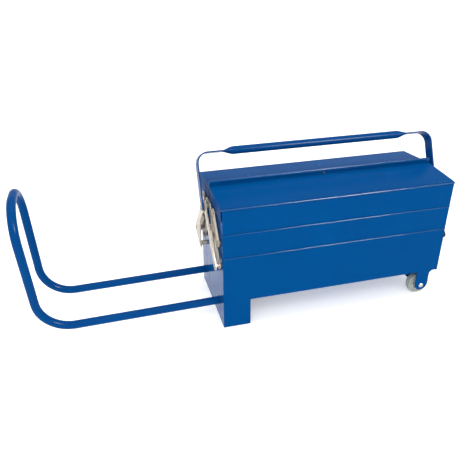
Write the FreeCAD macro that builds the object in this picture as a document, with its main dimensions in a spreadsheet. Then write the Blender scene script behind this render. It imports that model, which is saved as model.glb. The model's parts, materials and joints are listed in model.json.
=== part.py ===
import FreeCAD, Part
import math
import os
import Sketcher
from FreeCAD import Placement, Rotation, Vector

# A wheeled five-compartment cantilever tool box in painted sheet steel.
# Frame: millimetres, +Z up, +X from the foot end towards the wheels, +Y from front to rear.
# The origin is the centre of the foot's sole, on the ground.

DIMENSIONS = [
    # box
    ("length", 500, "outside length of the box"),
    ("depth", 204.4, "outside depth of the box"),
    ("floor_height", 62.7, "underside of the box above the ground"),
    ("base_top", 168.5, "rim of the deep base"),
    ("mid_top", 221.3, "rim of the middle trays"),
    ("lid_edge", 276.6, "top of the lids' long outer edges"),
    ("lid_rise", 7.6, "rise of a lid from its outer edge to the ridge"),
    ("ridge_height", 10.4, "upright flange along the inner edge of a lid"),
    ("panel_gauge", 1.2, "sheet of the base"),
    ("tray_gauge", 1.0, "sheet of trays and lids"),
    ("stack_gap", 0.3, "gap between trays stacked on each other"),
    ("centre_gap", 1.0, "gap between front and rear trays"),
    ("bead_radius", 1.1, "rolled rim of base and trays"),
    ("bead_proud", 0.5, "how far a rolled rim stands out"),
    ("bend_radius", 1.2, "outside bend radius of a tray"),
    # foot
    ("leg_width", 58.3, "foot leg seen from the front"),
    ("sole_width", 24, "lip folded in under the foot end"),
    ("pan_flange", 14, "upturned edge of the floor pan"),
    # wheels
    ("axle_inset", 34.5, "axle from the outside of the wheel end"),
    ("wheel_radius", 25.4, "tyre outside radius"),
    ("wheel_width", 16, "tyre width"),
    ("wheel_inset", 9, "front face of the box to the tyre's outer face"),
    ("rim_radius", 18.5, "hub rim outside radius"),
    ("axle_radius", 3, "axle shank"),
    ("axle_clearance", 0.06, "radial running clearance of hub on axle"),
    ("tongue_half", 15.5, "half width and end radius of a wheel tongue"),
    ("tongue_lift", 4, "centre of a tongue's round end above the axle"),
    ("tongue_flare", 9, "concave fillet from a tongue into the box"),
    ("notch_width", 6.5, "relief notch at the folded corner by the wheels"),
    ("notch_height", 3.3, "relief notch above the underside of the box"),
    ("cheek_gauge", 2, "inner wheel cheek"),
    ("cheek_half", 33, "half width of an inner cheek at the box"),
    ("cheek_skirt", 14.7, "straight upper part of an inner cheek"),
    ("cheek_radius", 12, "rounded end of an inner cheek"),
    ("cheek_flange", 18, "foot of the inner cheek under the floor pan"),
    # lids and their hinges
    ("lid_overhang", 2.3, "lid past each end of the trays"),
    ("apron_height", 29, "turned-down end of a lid"),
    ("apron_cutback", 3, "slant of an apron's inner edge, so that the lids pass each other"),
    ("barrel_radius", 1.8, "lid hinge barrel"),
    ("hinge_pin_radius", 0.8, "lid hinge pin"),
    ("hinge_clearance", 0.05, "radial clearance round the hinge pin"),
    ("barrel_inset", 1.3, "hinge axis behind the front face"),
    ("leaf_width", 13, "hinge leaf"),
    ("leaf_gauge", 0.8, "hinge leaf thickness"),
    ("knuckle_gap", 0.4, "gap between knuckles"),
    ("lock_hole_radius", 3.5, "padlock hole through both ridge flanges"),
    # tray arms
    ("arm_gauge", 2, "link arm thickness"),
    ("arm_half_width", 8.5, "half width of a link arm and its end radius"),
    ("arm_offset", 3.4, "end of the box to the inner face of an arm"),
    ("step_across", 38, "pivot to pivot, across the box"),
    ("step_up", 49, "pivot to pivot, upwards"),
    ("pivot_inset", 15, "lowest pivot of the long arm from the front face"),
    ("pivot_drop", 20.5, "lowest pivot below the base's rim"),
    ("arm_spacing", 34, "distance between parallel arms, across the box"),
    ("pivot_radius", 2.5, "pivot shank"),
    ("pivot_clearance", 0.08, "radial clearance of an arm on its pivot"),
    ("boss_radius", 5, "shoulder of a pivot between sheet and arm"),
    ("rivet_head_radius", 5, "rivet head"),
    ("rivet_head_height", 1.6, "rivet head"),
    # carrier legs and carrying handle
    ("carrier_gauge", 2.2, "bare steel leg that carries the handle"),
    ("carrier_half_width", 10, "half width of a carrier leg"),
    ("carrier_offset", 11.6, "foot end of the box to the inner leg"),
    ("wheel_carrier_offset", 7.8, "wheel end of the box to the inner leg"),
    ("carrier_layer", 2.4, "pitch of the two crossing legs"),
    ("crank_across", 39.4, "rear leg's lower arm, from the knee towards the middle"),
    ("crank_down", 20, "rear leg's lower arm, from the knee downwards"),
    ("web_share", 0.45, "part of a cranked leg's length that its web reaches"),
    ("handle_pivot", 244, "carrying handle pivot above the ground"),
    ("handle_lean", 25, "lean of the carrying handle to the rear, degrees"),
    ("handle_reach", 106, "pivot to the grip's axis"),
    ("handle_offset", 16.7, "end of the box to the inner face of a strap"),
    ("strap_gauge", 3, "flattened tube"),
    ("strap_width", 24, "flattened tube"),
    ("strap_bend", 21, "inside radius of the strap's bend"),
    ("strap_tip", 11.9, "strap past its pivot, and its end radius"),
    ("grip_radius", 8.5, "round part of the carrying handle"),
    ("grip_length", 376, "full round length"),
    ("grip_taper", 28, "length over which the tube is flattened"),
    ("handle_pin_radius", 4, "carrying handle pivot"),
    ("handle_head_radius", 6.5, "head of the carrying handle pivot"),
    # pull handle
    ("rod_radius", 8.5, "pull handle tube outside radius"),
    ("rod_wall", 1.5, "pull handle tube wall"),
    ("rod_spacing", 130, "distance between the two rods"),
    ("rod_height", 47, "rod axis above the ground at the foot plate"),
    ("rod_slope", 0.9, "rise of the rods towards the wheels, degrees"),
    ("rod_out", 299, "straight rod outside the foot plate"),
    ("rod_in", 132, "straight rod inside the foot plate"),
    ("rod_bend", 67.7, "bend from rod to upright, axis radius"),
    ("rod_bend_angle", 88.2, "turn from rod to upright, degrees"),
    ("rod_splay", 2.3, "lean of each upright away from the middle, degrees"),
    ("upright", 131.8, "straight upright of the pull handle"),
    ("top_bend", 63.8, "corner of the pull handle's loop, axis radius"),
    ("bush_radius", 10.2, "outside of a rod bush"),
    ("bush_flange_radius", 14, "flange of a rod bush"),
    ("rod_clearance", 0.1, "radial clearance of a rod in its bush"),
    ("guide_inset", 118, "foot plate to the inner guide"),
    ("guide_margin", 11, "rod axis to the sides and the lower edge of the inner guide"),
    ("stop_radius", 9.2, "stop collar on a rod's inner end"),
    ("stop_length", 10, "stop collar"),
]

doc = FreeCAD.newDocument("ToolBox")
sheet = doc.addObject("Spreadsheet::Sheet", "Sizes")
for row, (alias, number, note) in enumerate(DIMENSIONS, start=1):
    sheet.set(f"A{row}", alias)
    sheet.set(f"B{row}", str(number))
    sheet.set(f"C{row}", note)
    sheet.setAlias(f"B{row}", alias)
doc.recompute()


class Size:
    """A number together with the spreadsheet formula that gives it."""

    def __init__(self, value, text):
        self.value = value
        self.text = text

    def _join(self, other, sign, value):
        return Size(value, f"({self.text} {sign} {as_size(other).text})")

    def __add__(self, other):
        return self._join(other, "+", self.value + as_size(other).value)

    def __sub__(self, other):
        return self._join(other, "-", self.value - as_size(other).value)

    def __mul__(self, other):
        return self._join(other, "*", self.value * as_size(other).value)

    def __truediv__(self, other):
        return self._join(other, "/", self.value / as_size(other).value)

    def __radd__(self, other):
        return as_size(other) + self

    def __rsub__(self, other):
        return as_size(other) - self

    def __rmul__(self, other):
        return as_size(other) * self

    def __neg__(self):
        return as_size(0) - self


def as_size(number):
    return number if isinstance(number, Size) else Size(float(number), repr(number))


def cell(alias):
    return Size(float(sheet.get(alias)), f"Sizes.{alias}")


def root(size):
    return Size(math.sqrt(size.value), f"sqrt({size.text})")


S = {alias: cell(alias) for alias, _, _ in DIMENSIONS}

left = -S["sole_width"] / 2
right = left + S["length"]
front = -S["depth"] / 2
rear = S["depth"] / 2
middle_x = left + S["length"] / 2

nodes = []


def half_turn(placement):
    """The same place seen from the other side: half a turn about the box's upright axis."""
    spin = Placement(Vector(2 * middle_x.value, 0, 0), Rotation(Vector(0, 0, 1), 180))
    return spin.multiply(placement)


def keep(shape_object, label):
    shape_object.Label = label
    nodes.append(shape_object)
    return shape_object


PLANES = {"XY": "XY_Plane", "XZ": "XZ_Plane", "YZ": "YZ_Plane"}


class Piece:
    """One PartDesign body, built from sketches on its own origin planes."""

    def __init__(self, label, placement=None, kept=True):
        self.body = doc.addObject("PartDesign::Body", label)
        self.body.Label = label
        if placement is not None:
            self.body.Placement = placement
        if kept:
            nodes.append(self.body)

    def sketch(self, plane, at=0):
        """A sketch on a plane, moved along the axis that the plane faces."""
        drawing = self.body.newObject("Sketcher::SketchObject", f"{self.body.Name}_sketch")
        for feature in self.body.Origin.OriginFeatures:
            if feature.Role == PLANES[plane]:
                drawing.AttachmentSupport = [(feature, "")]
        drawing.MapMode = "FlatFace"
        shift = -as_size(at) if plane == "XZ" else as_size(at)
        drawing.setExpression("AttachmentOffset.Base.z", shift.text)
        return drawing

    def _feature(self, kind, drawing):
        feature = self.body.newObject(f"PartDesign::{kind}", f"{self.body.Name}_{kind}")
        feature.Profile = drawing
        drawing.Visibility = False
        return feature

    def pad(self, drawing, length, both_ways=False):
        feature = self._feature("Pad", drawing)
        feature.setExpression("Length", as_size(length).text)
        feature.Midplane = both_ways
        feature.Reversed = "XZ" in self._plane_of(drawing) and not both_ways
        doc.recompute()
        return feature

    def pocket(self, drawing, depth, upwards=False):
        before = self.body.Shape.Volume
        feature = self._feature("Pocket", drawing)
        feature.setExpression("Length", as_size(depth).text)
        feature.Reversed = upwards
        doc.recompute()
        if self.body.Shape.Volume >= before:
            raise RuntimeError(f"{self.body.Label}: a pocket cuts nothing")
        return feature

    def bore(self, drawing):
        """A pocket through everything, both ways."""
        before = self.body.Shape.Volume
        feature = self._feature("Pocket", drawing)
        feature.Type = "ThroughAll"
        feature.Midplane = True
        doc.recompute()
        if self.body.Shape.Volume >= before:
            raise RuntimeError(f"{self.body.Label}: a bore cuts nothing")
        return feature

    def spin(self, drawing, axis):
        feature = self._feature("Revolution", drawing)
        feature.ReferenceAxis = (drawing, [axis])
        feature.Angle = 360
        doc.recompute()
        return feature

    def loft(self, start, *others):
        feature = self._feature("AdditiveLoft", start)
        feature.Sections = list(others)
        for section in others:
            section.Visibility = False
        doc.recompute()
        return feature

    def fillet(self, wanted, radius):
        base = self.body.Tip
        names = [f"Edge{n}" for n, edge in enumerate(base.Shape.Edges, start=1) if wanted(edge)]
        feature = self.body.newObject("PartDesign::Fillet", f"{self.body.Name}_Fillet")
        feature.Base = (base, names)
        feature.setExpression("Radius", as_size(radius).text)
        doc.recompute()
        return feature

    @staticmethod
    def _plane_of(drawing):
        return drawing.AttachmentSupport[0][0].Role


def pin_point(drawing, geometry, point, x, y):
    """Hold one point of a sketch at formulas for its two coordinates."""
    for kind, size in (("DistanceX", x), ("DistanceY", y)):
        size = as_size(size)
        number = drawing.addConstraint(
            Sketcher.Constraint(kind, -1, 1, geometry, point, size.value)
        )
        drawing.setExpression(f"Constraints[{number}]", size.text)


def polygon(drawing, points):
    points = [(as_size(x), as_size(y)) for x, y in points]
    corners = [Vector(x.value, y.value, 0) for x, y in points]
    lines = [
        drawing.addGeometry(Part.LineSegment(start, end))
        for start, end in zip(corners, corners[1:] + corners[:1])
    ]
    for this, following in zip(lines, lines[1:] + lines[:1]):
        drawing.addConstraint(Sketcher.Constraint("Coincident", this, 2, following, 1))
    for line, (x, y) in zip(lines, points):
        pin_point(drawing, line, 1, x, y)
    return drawing


def rectangle(drawing, x0, y0, x1, y1):
    return polygon(drawing, [(x0, y0), (x1, y0), (x1, y1), (x0, y1)])


def circle(drawing, x, y, radius):
    x, y, radius = as_size(x), as_size(y), as_size(radius)
    ring = Part.Circle(Vector(x.value, y.value, 0), Vector(0, 0, 1), radius.value)
    geometry = drawing.addGeometry(ring)
    number = drawing.addConstraint(Sketcher.Constraint("Radius", geometry, radius.value))
    drawing.setExpression(f"Constraints[{number}]", radius.text)
    pin_point(drawing, geometry, 3, x, y)
    return drawing


def slot(drawing, reach, radius):
    """A bar with round ends, from the sketch's origin along its horizontal axis."""
    reach, radius = as_size(reach), as_size(radius)
    length, width = reach.value, radius.value
    up = Vector(0, 0, 1)
    near = Part.ArcOfCircle(Part.Circle(Vector(0, 0, 0), up, width), math.pi / 2, 3 * math.pi / 2)
    far = Part.ArcOfCircle(Part.Circle(Vector(length, 0, 0), up, width), -math.pi / 2, math.pi / 2)
    start = drawing.addGeometry(near)
    lower = drawing.addGeometry(Part.LineSegment(Vector(0, -width, 0), Vector(length, -width, 0)))
    end = drawing.addGeometry(far)
    upper = drawing.addGeometry(Part.LineSegment(Vector(length, width, 0), Vector(0, width, 0)))
    for one, its_point, other, other_point in (
        (start, 2, lower, 1),
        (lower, 2, end, 1),
        (end, 2, upper, 1),
        (upper, 2, start, 1),
    ):
        drawing.addConstraint(Sketcher.Constraint("Tangent", one, its_point, other, other_point))
    number = drawing.addConstraint(Sketcher.Constraint("Radius", start, width))
    drawing.setExpression(f"Constraints[{number}]", radius.text)
    drawing.addConstraint(Sketcher.Constraint("Coincident", start, 3, -1, 1))
    pin_point(drawing, end, 3, reach, 0)
    return drawing


def along(edge, axis):
    """True when an edge is a straight line along the axis."""
    if edge.Curve.TypeId != "Part::GeomLine":
        return False
    return abs(abs(edge.Curve.Direction.dot(axis)) - 1) < 1e-6


X_AXIS, Y_AXIS, Z_AXIS = Vector(1, 0, 0), Vector(0, 1, 0), Vector(0, 0, 1)


def near(value, size):
    return abs(value - as_size(size).value) < 1e-4


# Link pivots, as places across the box (from the centre plane) and above the ground.
long_low = (front + S["pivot_inset"], S["base_top"] - S["pivot_drop"])
long_mid = (long_low[0] + S["step_across"], long_low[1] + S["step_up"])
long_top = (long_mid[0] + S["step_across"], long_mid[1] + S["step_up"])
lower_low = (long_low[0] + S["arm_spacing"], long_low[1])
lower_top = (long_mid[0] + S["arm_spacing"], long_mid[1])
upper_low = (long_mid[0] - S["arm_spacing"], long_mid[1])
upper_top = (long_top[0] - S["arm_spacing"], long_top[1])

axle_x = right - S["axle_inset"]
axle_z = S["wheel_radius"]
tongue_z = axle_z + S["tongue_lift"]
crank_foot = (-long_low[0] - S["crank_across"], long_low[1] - S["crank_down"])
carrier_reach = root(
    long_low[0] * long_low[0]
    + (S["handle_pivot"] - long_low[1]) * (S["handle_pivot"] - long_low[1])
)


# ---- base ----------------------------------------------------------------------------------
def side_panel(label, placement):
    """Long side of the base, with the foot leg and the outer wheel tongue in one sheet."""
    piece = Piece(label, placement)
    outline = piece.sketch("XZ", front)
    polygon(
        outline,
        [
            (left, 0),
            (left + S["leg_width"], 0),
            (left + S["leg_width"], S["floor_height"]),
            (right, S["floor_height"]),
            (right, S["base_top"]),
            (left, S["base_top"]),
        ],
    )
    piece.pad(outline, S["panel_gauge"])
    tongue_right = axle_x + S["tongue_half"]
    flare_top = S["floor_height"]
    tongue = piece.sketch("XZ", front)
    polygon(
        tongue,
        [
            (axle_x - S["tongue_half"], tongue_z),
            (tongue_right, tongue_z),
            (tongue_right, flare_top - S["tongue_flare"]),
            (tongue_right + S["tongue_flare"], flare_top - S["tongue_flare"]),
            (tongue_right + S["tongue_flare"], flare_top + 1),
            (axle_x - S["tongue_half"], flare_top + 1),
        ],
    )
    piece.pad(tongue, S["panel_gauge"])
    flare = piece.sketch("XZ", front)
    circle(
        flare,
        tongue_right + S["tongue_flare"],
        flare_top - S["tongue_flare"],
        S["tongue_flare"],
    )
    piece.bore(flare)
    tongue_end = piece.sketch("XZ", front)
    circle(tongue_end, axle_x, tongue_z, S["tongue_half"])
    piece.pad(tongue_end, S["panel_gauge"])
    notch = piece.sketch("XZ", front)
    notch_right = right - S["notch_height"] - S["panel_gauge"]
    rectangle(
        notch,
        notch_right - S["notch_width"],
        flare_top - 1,
        notch_right,
        flare_top + S["notch_height"],
    )
    piece.bore(notch)
    axle_hole = piece.sketch("XZ", front)
    circle(axle_hole, axle_x, axle_z, S["axle_radius"])
    piece.bore(axle_hole)
    bead = piece.sketch("YZ", left)
    circle(
        bead,
        front - S["bead_proud"] + S["bead_radius"],
        S["base_top"] - S["bead_radius"],
        S["bead_radius"],
    )
    piece.pad(bead, S["length"])
    return piece


def end_plate(label, at, bottom, bead_outward):
    """Short side of the base, between the two side panels."""
    piece = Piece(label)
    outline = piece.sketch("YZ", at)
    rectangle(
        outline, front + S["panel_gauge"], bottom, rear - S["panel_gauge"], S["base_top"]
    )
    piece.pad(outline, S["panel_gauge"])
    bead = piece.sketch("XZ", front + S["panel_gauge"] + S["bead_proud"])
    circle(bead, bead_outward, S["base_top"] - S["bead_radius"], S["bead_radius"])
    piece.pad(bead, S["depth"] - 2 * (S["panel_gauge"] + S["bead_proud"]))
    return piece


def end_plate_holes(piece, at):
    holes = piece.sketch("YZ", at)
    for side in (1, -1):
        for across, up in (long_low, lower_low):
            circle(holes, across * side, up, S["pivot_radius"])
    circle(holes, crank_foot[0], crank_foot[1], S["pivot_radius"])
    piece.bore(holes)


def foot_plate():
    piece = end_plate("foot_end_plate", left, 0, left - S["bead_proud"] + S["bead_radius"])
    sole = piece.sketch("XY", 0)
    rectangle(
        sole,
        left + S["panel_gauge"] / 2,
        front + S["panel_gauge"],
        left + S["sole_width"],
        rear - S["panel_gauge"],
    )
    piece.pad(sole, S["panel_gauge"])
    rods = piece.sketch("YZ", left)
    for side in (1, -1):
        circle(rods, S["rod_spacing"] / 2 * side, S["rod_height"], S["bush_radius"] + 0.3)
    piece.bore(rods)
    end_plate_holes(piece, left)


def wheel_end_plate():
    plate_x = right - S["panel_gauge"]
    piece = end_plate(
        "wheel_end_plate",
        plate_x,
        S["floor_height"],
        right + S["bead_proud"] - S["bead_radius"],
    )
    end_plate_holes(piece, plate_x)


def floor_pan():
    piece = Piece("floor_pan")
    gauge = S["panel_gauge"]
    outer = piece.sketch("XY", S["floor_height"])
    rectangle(outer, left + gauge, front + gauge, right - gauge, rear - gauge)
    piece.pad(outer, S["pan_flange"])
    inner = piece.sketch("XY", S["floor_height"] + S["pan_flange"])
    rectangle(
        inner, left + 2 * gauge, front + 2 * gauge, right - 2 * gauge, rear - 2 * gauge
    )
    piece.pocket(inner, S["pan_flange"] - gauge)


# ---- wheels --------------------------------------------------------------------------------
wheel_outer_y = front + S["wheel_inset"]
cheek_y = wheel_outer_y + S["wheel_width"] + 2


def wheel_cheek(label, placement):
    """Inner side of a wheel fork, hung from the floor pan by a folded foot."""
    piece = Piece(label, placement)
    cheek = piece.sketch("XZ", cheek_y)
    skirt_z = S["floor_height"] - S["cheek_skirt"]
    polygon(
        cheek,
        [
            (axle_x - S["cheek_half"], S["floor_height"]),
            (axle_x - S["cheek_half"], skirt_z),
            (axle_x - S["cheek_radius"], axle_z),
            (axle_x + S["cheek_radius"], axle_z),
            (axle_x + S["cheek_half"], skirt_z),
            (axle_x + S["cheek_half"], S["floor_height"]),
        ],
    )
    piece.pad(cheek, S["cheek_gauge"])
    rounding = piece.sketch("XZ", cheek_y)
    circle(rounding, axle_x, axle_z, S["cheek_radius"])
    piece.pad(rounding, S["cheek_gauge"])
    axle_hole = piece.sketch("XZ", cheek_y)
    circle(axle_hole, axle_x, axle_z, S["axle_radius"])
    piece.bore(axle_hole)
    foot = piece.sketch("XY", S["floor_height"] - S["cheek_gauge"])
    rectangle(
        foot,
        axle_x - S["cheek_half"],
        cheek_y,
        axle_x + S["cheek_half"],
        cheek_y + S["cheek_flange"],
    )
    piece.pad(foot, S["cheek_gauge"])


def axle(label, placement):
    """Riveted axle: domed head outside the tongue, small head inside the cheek."""
    piece = Piece(label, placement)
    head = S["rivet_head_radius"]
    shank = S["axle_radius"]
    head_face = front - 2.4
    inner_end = cheek_y + S["cheek_gauge"] + 1.5
    profile = piece.sketch("XY", 0)
    polygon(
        profile,
        [
            (0, head_face),
            (head - 1.6, head_face),
            (head, front - 0.8),
            (head, front),
            (shank, front),
            (shank, cheek_y + S["cheek_gauge"]),
            (shank + 1.5, cheek_y + S["cheek_gauge"]),
            (shank + 1.5, inner_end),
            (0, inner_end),
        ],
    )
    piece.spin(profile, "V_Axis")
    piece.body.Placement = placement.multiply(
        Placement(Vector(axle_x.value, 0, axle_z.value), Rotation())
    )


def wheel_profile(label, placement, points):
    """A ring turned about the axle."""
    piece = Piece(label)
    profile = piece.sketch("XY", 0)
    polygon(profile, points)
    piece.spin(profile, "V_Axis")
    piece.body.Placement = placement.multiply(
        Placement(Vector(axle_x.value, wheel_outer_y.value, axle_z.value), Rotation())
    )
    return piece


def wheel(side_name, placement):
    width = S["wheel_width"]
    bore = S["axle_radius"] + S["axle_clearance"]
    hub = 7
    web_in = 4
    rim = S["rim_radius"]
    wheel_profile(
        f"{side_name}_wheel_hub",
        placement,
        [
            (bore, 0),
            (hub, 0),
            (hub, web_in),
            (rim - 3, web_in),
            (rim - 3, 1.5),
            (rim, 1.5),
            (rim, width - 1.5),
            (rim - 3, width - 1.5),
            (rim - 3, width - web_in),
            (hub, width - web_in),
            (hub, width),
            (bore, width),
        ],
    )
    tyre = wheel_profile(
        f"{side_name}_wheel_tyre",
        placement,
        [
            (rim, 0.6),
            (S["wheel_radius"], 0.6),
            (S["wheel_radius"], width - 0.6),
            (rim, width - 0.6),
        ],
    )
    tread = S["wheel_radius"].value
    tyre.fillet(lambda edge: near(edge.BoundBox.XMax, tread), 3)


def ring(name, radius, bore, length):
    """A spare tube along Y, used as the pattern for spacers."""
    piece = Piece(name, kept=False)
    profile = piece.sketch("XY", 0)
    rectangle(profile, bore, 0, radius, length)
    piece.spin(profile, "V_Axis")
    return piece.body.Shape


def group(label, shapes):
    """Separate solids that share one node."""
    item = doc.addObject("Part::Feature", label)
    item.Shape = Part.makeCompound(shapes)
    return keep(item, label)


def moved(shape, placement):
    copy = shape.copy()
    copy.Placement = placement.multiply(copy.Placement)
    return copy


def axle_spacers():
    gap = 0.3
    bore = S["axle_radius"] + S["axle_clearance"]
    outer_length = S["wheel_inset"] - S["panel_gauge"] - gap
    inner_length = 2 - gap
    outer = ring("outer_spacer", 5.5, bore, outer_length)
    inner = ring("inner_spacer", 5.5, bore, inner_length)
    solids = []
    for turn in (lambda place: place, half_turn_across):
        at_outer = Vector(axle_x.value, (front + S["panel_gauge"]).value, axle_z.value)
        at_inner = Vector(axle_x.value, (cheek_y - inner_length).value, axle_z.value)
        solids.append(moved(outer, turn(Placement(at_outer, Rotation()))))
        solids.append(moved(inner, turn(Placement(at_inner, Rotation()))))
    group("axle_spacers", solids)


def half_turn_across(placement):
    """Half a turn about the upright line through the axle: the other wheel's place."""
    spin = Placement(Vector(2 * axle_x.value, 0, 0), Rotation(Z_AXIS, 180))
    return spin.multiply(placement)


# ---- trays and lids ------------------------------------------------------------------------
def tray(label, placement, bottom, top, front_top):
    """Open sheet tray, half the depth of the box. Its inner side lies at the centre plane."""
    piece = Piece(label, placement)
    gauge = S["tray_gauge"]
    inner_y = -S["centre_gap"] / 2
    outer = piece.sketch("XY", bottom)
    rectangle(outer, left, front, right, inner_y)
    piece.pad(outer, top - bottom)
    piece.fillet(
        lambda edge: along(edge, Z_AXIS)
        or (near(edge.BoundBox.ZMax, bottom) and near(edge.BoundBox.ZMin, bottom)),
        S["bend_radius"],
    )
    hollow = piece.sketch("XY", top)
    rectangle(hollow, left + gauge, front + gauge, right - gauge, inner_y - gauge)
    piece.pocket(hollow, top - bottom - gauge)
    if front_top.value < top.value:
        notch = piece.sketch("XY", top)
        rectangle(notch, left - 1, front - 1, right + 1, front + S["barrel_inset"] + 2.4)
        piece.pocket(notch, top - front_top)
    return piece


def tray_bead(piece, top):
    """Rolled rim on the three outer sides of a tray."""
    radius = S["bead_radius"]
    reach = radius - S["bead_proud"]
    front_bead = piece.sketch("YZ", left)
    circle(front_bead, front + reach, top - radius, radius)
    piece.pad(front_bead, S["length"])
    for x in (left + reach, right - reach):
        side_bead = piece.sketch("XZ", front + reach)
        circle(side_bead, x, top - radius, radius)
        piece.pad(side_bead, -front - S["centre_gap"] - reach)


def tray_holes(piece, pivots):
    holes = piece.sketch("YZ", middle_x)
    for across, up in pivots:
        circle(holes, across, up, S["pivot_radius"])
    piece.bore(holes)


def mid_tray(side_name, placement):
    bottom = S["base_top"] + S["stack_gap"]
    piece = tray(f"{side_name}_mid_tray", placement, bottom, S["mid_top"], S["mid_top"])
    tray_bead(piece, S["mid_top"])
    tray_holes(piece, [long_mid, lower_top, upper_low])


hinge_y = front + S["barrel_inset"]
hinge_z = S["lid_edge"] - S["barrel_radius"]
lid_slope = S["lid_rise"] / (S["depth"] / 2)
lid_front = hinge_y + S["barrel_radius"] + 0.3
lid_inner = -S["centre_gap"] / 4


def lid_height(y):
    return S["lid_edge"] + (y - front) * lid_slope


def top_tray(side_name, placement):
    bottom = S["mid_top"] + S["stack_gap"]
    top = S["lid_edge"] - S["tray_gauge"] - 2 * S["stack_gap"] - S["leaf_gauge"]
    piece = tray(
        f"{side_name}_top_tray", placement, bottom, top, hinge_z - S["barrel_radius"] - 0.3
    )
    tray_holes(piece, [long_top, upper_top])


def lid(side_name, placement):
    piece = Piece(f"{side_name}_lid", placement)
    gauge = S["tray_gauge"]
    end_x = left - S["lid_overhang"]
    section = piece.sketch("YZ", end_x)
    polygon(
        section,
        [
            (lid_front, lid_height(lid_front) - gauge),
            (lid_inner - gauge, lid_height(lid_inner) - gauge),
            (lid_inner, lid_height(lid_inner) - gauge),
            (lid_inner, lid_height(lid_inner) + S["ridge_height"]),
            (lid_inner - gauge, lid_height(lid_inner) + S["ridge_height"]),
            (lid_inner - gauge, lid_height(lid_inner - gauge)),
            (lid_front, lid_height(lid_front)),
        ],
    )
    piece.pad(section, S["length"] + 2 * S["lid_overhang"])
    lock = piece.sketch("XZ", -1)
    circle(
        lock,
        middle_x,
        lid_height(lid_inner) + S["ridge_height"] / 2,
        S["lock_hole_radius"],
    )
    piece.bore(lock)


def lid_end_plates(side_name, placement):
    """The plates welded under both ends of a lid, outside the trays."""
    gauge = S["tray_gauge"]
    plates = []
    for end_name, x in (
        ("left", left - S["lid_overhang"]),
        ("right", right + S["lid_overhang"] - gauge),
    ):
        piece = Piece(f"{side_name}_{end_name}_lid_plate", placement, kept=False)
        plate = piece.sketch("YZ", x)
        polygon(
            plate,
            [
                (lid_front, lid_height(lid_front) - S["apron_height"]),
                (
                    lid_inner - S["apron_cutback"],
                    lid_height(lid_inner) - S["apron_height"],
                ),
                (lid_inner, lid_height(lid_inner) - gauge),
                (lid_front, lid_height(lid_front) - gauge),
            ],
        )
        piece.pad(plate, gauge)
        plates.append(piece.body.Shape)
    group(f"{side_name}_lid_end_plates", plates)


KNUCKLES = 7


def hinge(side_name, placement):
    """Piano hinge along the outer top edge: a leaf on the tray, a leaf on the lid and a pin."""
    margin = S["lid_overhang"] - S["tray_gauge"] - 0.1
    start = left - margin
    share = (S["length"] + 2 * margin) / KNUCKLES
    bore = S["hinge_pin_radius"] + S["hinge_clearance"]
    radius = S["barrel_radius"]
    gauge = S["leaf_gauge"]
    leaf_top = hinge_z + radius - S["tray_gauge"]
    for part, first in (("lid", 0), ("tray", 1)):
        piece = Piece(f"{side_name}_hinge_{part}_leaf", placement)
        for number in range(first, KNUCKLES, 2):
            begin = start + share * number + S["knuckle_gap"] / 2
            length = share - S["knuckle_gap"]
            if part == "lid":
                tab = piece.sketch("YZ", begin)
                rectangle(
                    tab, hinge_y, leaf_top - gauge, hinge_y + S["leaf_width"], leaf_top
                )
            else:
                tab = piece.sketch("YZ", begin)
                rectangle(
                    tab,
                    front + S["tray_gauge"],
                    hinge_z - S["leaf_width"],
                    front + S["tray_gauge"] + gauge,
                    hinge_z,
                )
            piece.body.AllowCompound = True
            piece.pad(tab, length)
            knuckle = piece.sketch("YZ", begin)
            circle(knuckle, hinge_y, hinge_z, radius)
            piece.pad(knuckle, length)
        strip_start = start if part == "lid" else left + 4
        strip = piece.sketch("YZ", strip_start)
        if part == "lid":
            rectangle(
                strip,
                hinge_y + radius + 0.4,
                leaf_top - gauge,
                hinge_y + S["leaf_width"],
                leaf_top,
            )
        else:
            rectangle(
                strip,
                front + S["tray_gauge"],
                hinge_z - S["leaf_width"],
                front + S["tray_gauge"] + gauge,
                hinge_z - radius - 0.4,
            )
        piece.pad(strip, 2 * (middle_x - strip_start))
        hole = piece.sketch("YZ", middle_x)
        circle(hole, hinge_y, hinge_z, bore)
        piece.bore(hole)
    pin = Piece(f"{side_name}_hinge_pin", placement)
    section = pin.sketch("YZ", start - 0.5)
    circle(section, hinge_y, hinge_z, S["hinge_pin_radius"])
    pin.pad(section, 2 * (middle_x - start + 0.5))


# ---- link arms and their rivets ------------------------------------------------------------
def bar_place(across, up, towards, x):
    """Lay a bar that is drawn along X so that it runs between two pivots, in the plane X = x."""
    lean = math.degrees(
        math.atan2(towards[1].value - up.value, towards[0].value - across.value)
    )
    stand = Rotation(Y_AXIS, Z_AXIS, X_AXIS, "XYZ")
    turn = Rotation(X_AXIS, lean)
    return Placement(Vector(x.value, across.value, up.value), turn.multiply(stand))


def arm(label, start, end, x, turn, holes):
    reach = root(
        (end[0] - start[0]) * (end[0] - start[0]) + (end[1] - start[1]) * (end[1] - start[1])
    )
    piece = Piece(label, turn(bar_place(start[0], start[1], end, x)))
    outline = piece.sketch("XY", 0)
    slot(outline, reach, S["arm_half_width"])
    for share in holes:
        circle(outline, reach * share, 0, S["pivot_radius"] + S["pivot_clearance"])
    piece.pad(outline, S["arm_gauge"])


def arms(side_name, turn):
    """Three parallel arms at each end of one side: long, lower and upper."""
    for end_name, x in (
        ("foot", left - S["arm_offset"] - S["arm_gauge"]),
        ("wheel", right + S["arm_offset"]),
    ):
        if side_name == "rear":
            end_name = {"foot": "wheel", "wheel": "foot"}[end_name]
        label = f"{side_name}_{end_name}_end"
        arm(f"{label}_long_arm", long_low, long_top, x, turn, (0, 0.5, 1))
        arm(f"{label}_lower_arm", lower_low, lower_top, x, turn, (0, 1))
        arm(f"{label}_upper_arm", upper_low, upper_top, x, turn, (0, 1))


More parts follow.
